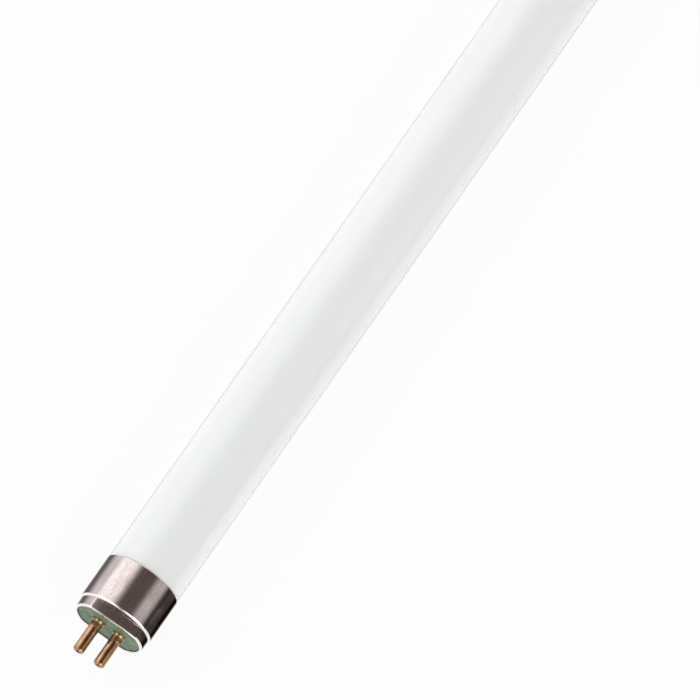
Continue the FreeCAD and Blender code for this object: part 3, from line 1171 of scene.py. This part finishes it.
@dataclass(frozen=True)
class ContactPins:
    """Four hollow brass pins: bevelled tip round the lead, thin tapered collar and staked foot."""

    sizes: LampSizes
    tip_hole: float = 0.45
    hole_depth: float = 0.9
    hole_round: float = 0.08
    tip_bevel: float = 0.32
    tip_round: float = 0.12
    bevel_round: float = 0.16
    bore_radius: float = 0.75
    bore_round: float = 0.05
    seat_depth: float = 0.3
    collar_radius: float = 1.525
    collar_height: float = 0.55
    collar_edge: float = 0.14
    collar_root_round: float = 0.12
    collar_front_round: float = 0.07
    collar_back_round: float = 0.03
    stake_radius: float = 1.65
    stake_height: float = 0.5
    stake_taper: float = 0.2
    stake_round: float = 0.1
    stake_end_round: float = 0.15
    guard: float = 0.03
    segments: int = 64

    def outline(self) -> list[Vector]:
        """Section of a pin at the left end, from its tip hole round to its bore.

        Returns:
            Points as (along, out) pairs, with the cap's face at 0.
        """
        radius, back, seated = self.sizes.pin_radius, self.sizes.disc_back, self.seat_depth
        tip, stake_end = -self.sizes.pin_reach, back + self.stake_height
        points = rounded([
            Corner(tip + self.hole_depth, self.tip_hole),
            Corner(tip, self.tip_hole, self.hole_round),
            Corner(tip, radius - self.tip_bevel, self.tip_round),
            Corner(tip + self.tip_bevel, radius, self.bevel_round),
            Corner(seated - self.collar_height, radius, self.collar_root_round),
            Corner(seated - self.collar_edge, self.collar_radius, self.collar_front_round),
            Corner(seated, self.collar_radius, self.collar_back_round),
            Corner(seated, radius),
            Corner(back, radius),
            Corner(back, self.stake_radius, self.stake_round),
            Corner(stake_end, self.stake_radius - self.stake_taper, self.stake_end_round),
            Corner(stake_end, self.bore_radius, self.bore_round),
            Corner(tip + self.hole_depth, self.bore_radius),
        ], guard=self.guard)
        return points + [points[0].copy()]

    def pairs(self, tree: Tree, form: Socket, given: Any) -> Socket:
        """Nodes that set a pin at each side of both caps.

        Args:
            tree: Tree that takes the nodes.
            form: The turned pin.
            given: Outputs of the tree's input node.

        Returns:
            The four pins as instances.
        """
        face = tree.math("MULTIPLY", given["Face Distance"], -1.0)
        side = tree.math("MULTIPLY", given["Pin Spacing"], -0.5)
        start = tree.add("ShaderNodeCombineXYZ", {"X": face, "Y": side}).outputs[0]
        step = tree.add("ShaderNodeCombineXYZ", {"Y": given["Pin Spacing"]}).outputs[0]
        spacing = {"Count": 2, "Start Location": start, "Offset": step}
        row = tree.add("GeometryNodeMeshLine", spacing, mode="OFFSET").outputs[0]
        left = tree.add("GeometryNodeInstanceOnPoints", {"Points": row, "Instance": form}).outputs[0]
        turning = {"Geometry": left, "Rotation": (0.0, 0.0, math.pi)}
        right = tree.add("GeometryNodeTransform", turning).outputs[0]
        both = tree.add("GeometryNodeJoinGeometry", {0: left})
        tree.tree.links.new(right, both.inputs[0])
        return both.outputs[0]

    def build(self, finish: bpy.types.Material) -> None:
        """Make the pins and seat them.

        Args:
            finish: Material of the brass.
        """
        form = TurnedForm("contact_pin_form")
        form.socket("Pin Spacing", "NodeSocketFloat")
        form.socket("Face Distance", "NodeSocketFloat")
        form.finish(self.pairs)
        piece = form.make(
            "contact_pins",
            self.outline(),
            Segments=self.segments,
            Finish=finish,
            Pin_Spacing=2 * self.sizes.pin_side * MM,
            Face_Distance=self.sizes.cap_face * MM,
        )
        nodes = [end.node(f"{row}_pin") for end in End for row in ("front", "rear")]
        seat(piece, Slot.PIN, *nodes)


@dataclass(frozen=True)
class HiddenParts:
    """Cement rings and lead wires, which keep the frame's own solids."""

    cement: CementFinish = CementFinish()
    wire: WireFinish = WireFinish()

    def build(self) -> None:
        """Give the solids of both ends their finishes."""
        cement, wire = (self.cement.build(), Slot.CEMENT), (self.wire.build(), Slot.LEAD)
        dressed = {"cement_ring": cement, "front_lead": wire, "rear_lead": wire}
        for end in End:
            for name, (finish, slot) in dressed.items():
                solid = frame["nodes"][end.node(name)]
                solid.data.materials.clear()
                solid.data.materials.append(finish)
                LOG.info("%s: dressed as %s", end.node(name), slot.value)


@dataclass(frozen=True)
class Softbox:
    """Large soft panel far away: its direction, half sizes, strength and edge softness."""

    name: str
    azimuth: float
    elevation: float
    half_width: float
    half_height: float
    strength: float
    soft: float = 0.12
    least_ahead: float = 0.01

    def axes(self) -> tuple[Vector, Vector, Vector]:
        """Directions towards the panel, along its width and up it.

        Returns:
            Three unit vectors.
        """
        turn, rise = math.radians(self.azimuth), math.radians(self.elevation)
        flat = Vector((math.cos(turn), math.sin(turn), 0.0))
        ahead = flat * math.cos(rise) + UPWARD * math.sin(rise)
        aside = UPWARD.cross(flat)
        return ahead, aside, ahead.cross(aside)

    def light(self, tree: Tree, direction: Socket) -> Socket:
        """Nodes that light the part of the sky that the panel covers.

        Args:
            tree: The world's tree.
            direction: Direction of the ray.

        Returns:
            The panel's white where it shows, and black elsewhere.
        """
        dots = [
            tree.add("ShaderNodeVectorMath", {0: direction, 1: axis}, operation="DOT_PRODUCT")
            for axis in self.axes()
        ]
        ahead, aside, rise = (dot.outputs["Value"] for dot in dots)
        cover = tree.math("GREATER_THAN", ahead, self.least_ahead)
        for distance, half in ((aside, self.half_width), (rise, self.half_height)):
            spread = tree.math("ABSOLUTE", tree.math("DIVIDE", distance, ahead))
            edge = tree.span(spread, Ramp(half - self.soft, half + self.soft, 1.0, 0.0))
            cover = tree.math("MULTIPLY", cover, edge)
        bright = tree.math("MULTIPLY", cover, self.strength)
        shown = tree.add("ShaderNodeVectorMath", {0: WHITE, "Scale": bright}, operation="SCALE")
        return shown.outputs["Vector"]


@dataclass(frozen=True)
class Studio:
    """Plain pale floor under a dim sky with soft panels round the lamp."""

    sizes: LampSizes
    sky: Colour = (0.122, 0.092, 0.083)
    reach: float = 80000.0
    panels: tuple[Softbox, ...] = (
        Softbox("key", 90.0, 27.5, 0.7, 0.64, 1.50, 0.42),
        Softbox("fill", 270.0, 36.0, 2.2, 0.34, 0.56, 0.2),
        Softbox("front", 138.0, 26.0, 0.48, 0.34, 1.9),
        Softbox("side", 227.0, 27.0, 0.68, 0.42, 2.15),
        Softbox("back", 0.0, 33.0, 0.6, 0.42, 0.85),
    )

    def build_floor(self) -> None:
        """Lay the floor under the lamp."""
        sides = [(-1, -1), (1, -1), (1, 1), (-1, 1)]
        mesh = bpy.data.meshes.new("floor")
        points = [Vector((x * self.reach, y * self.reach, self.sizes.floor)) * MM for x, y in sides]
        mesh.from_pydata(points, [], [(0, 1, 2, 3)])
        mesh.materials.append(FloorFinish().build())
        new_piece("floor", mesh)

    def build_sky(self) -> None:
        """Light the scene from the world."""
        world = bpy.data.worlds.new("studio")
        world.use_nodes = True
        world.node_tree.nodes.clear()
        tree = Tree(world.node_tree)
        direction = tree.add("ShaderNodeTexCoord").outputs["Generated"]
        light = tree.add("ShaderNodeCombineXYZ", dict(enumerate(self.sky))).outputs[0]
        for panel in self.panels:
            both = {0: light, 1: panel.light(tree, direction)}
            light = tree.add("ShaderNodeVectorMath", both, operation="ADD").outputs["Vector"]
            LOG.info("%s panel: %.0f degrees round, %.0f up", panel.name, panel.azimuth, panel.elevation)
        glow = tree.add("ShaderNodeBackground", {"Color": light, "Strength": 1.0})
        tree.add("ShaderNodeOutputWorld", {"Surface": glow.outputs[0]})
        bpy.context.scene.world = world

    def build(self) -> None:
        """Set up the floor, the light and the plain view."""
        self.build_floor()
        self.build_sky()
        bpy.context.scene.view_settings.view_transform = "Standard"


@dataclass(frozen=True)
class PhotoCamera:
    """Camera at the photograph's angle, far off with a long lens."""

    tilt: float = 18.5
    lean: float = 1.0
    roll: float = 34.94
    lens: float = 715.0
    sensor: float = 36.0
    distance: float = 2705.0
    nearest: float = 100.0
    farthest: float = 100000.0
    target: tuple[float, float] = (-199.65, -7.41)

    def build(self) -> None:
        """Place the camera and make it the scene's own."""
        tilt, roll = math.radians(self.tilt), math.radians(self.roll)
        lean = Matrix.Rotation(-math.radians(self.lean), 3, "X")
        back = lean @ Vector((-math.sin(tilt), 0.0, math.cos(tilt)))
        along = lean @ Vector((math.cos(tilt), 0.0, math.sin(tilt)))
        across = lean @ Vector((0.0, -1.0, 0.0))
        right = across * math.cos(roll) + along * math.sin(roll)
        up = along * math.cos(roll) - across * math.sin(roll)
        data = bpy.data.cameras.new("photo_camera")
        data.lens, data.sensor_width = self.lens, self.sensor
        data.clip_start, data.clip_end = self.nearest * MM, self.farthest * MM
        camera = bpy.data.objects.new("photo_camera", data)
        bpy.context.scene.collection.objects.link(camera)
        place = Matrix((right, up, back)).transposed().to_4x4()
        place.translation = (Vector((*self.target, 0.0)) + back * self.distance) * MM
        camera.matrix_world = place
        bpy.context.scene.camera = camera
        LOG.info("camera: %.0f mm lens at %.2f m", self.lens, self.distance * MM)


def corners(box: tuple[Vector, Vector]) -> list[list[float]]:
    """Box as plain lists of numbers."""
    return [list(corner) for corner in box]


def main() -> None:
    """Build the lamp's looks, the studio and the camera."""
    logging.basicConfig(level=logging.INFO, format="%(name)s %(message)s")
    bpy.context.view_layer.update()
    sizes = LampSizes.from_frame()
    PhotoCamera().build()
    Studio(sizes).build()
    outline = NoseOutline(sizes.cap_radius)
    shell, disc = CapShell(sizes, outline), InsulatingDisc(sizes, outline)
    GlassTube(sizes).build(GlassFinish().build())
    metal = CapFinish(rim=sizes.cap_face, shoulder=-shell.ledge, mouth=-shell.mouth).build()
    board = DiscFinish().build()
    for end in End:
        shell.build(end, metal)
        disc.build(end, board)
    ContactPins(sizes).build(BrassFinish(face=sizes.cap_face).build())
    HiddenParts().build()


if __name__ == "__main__":
    main()
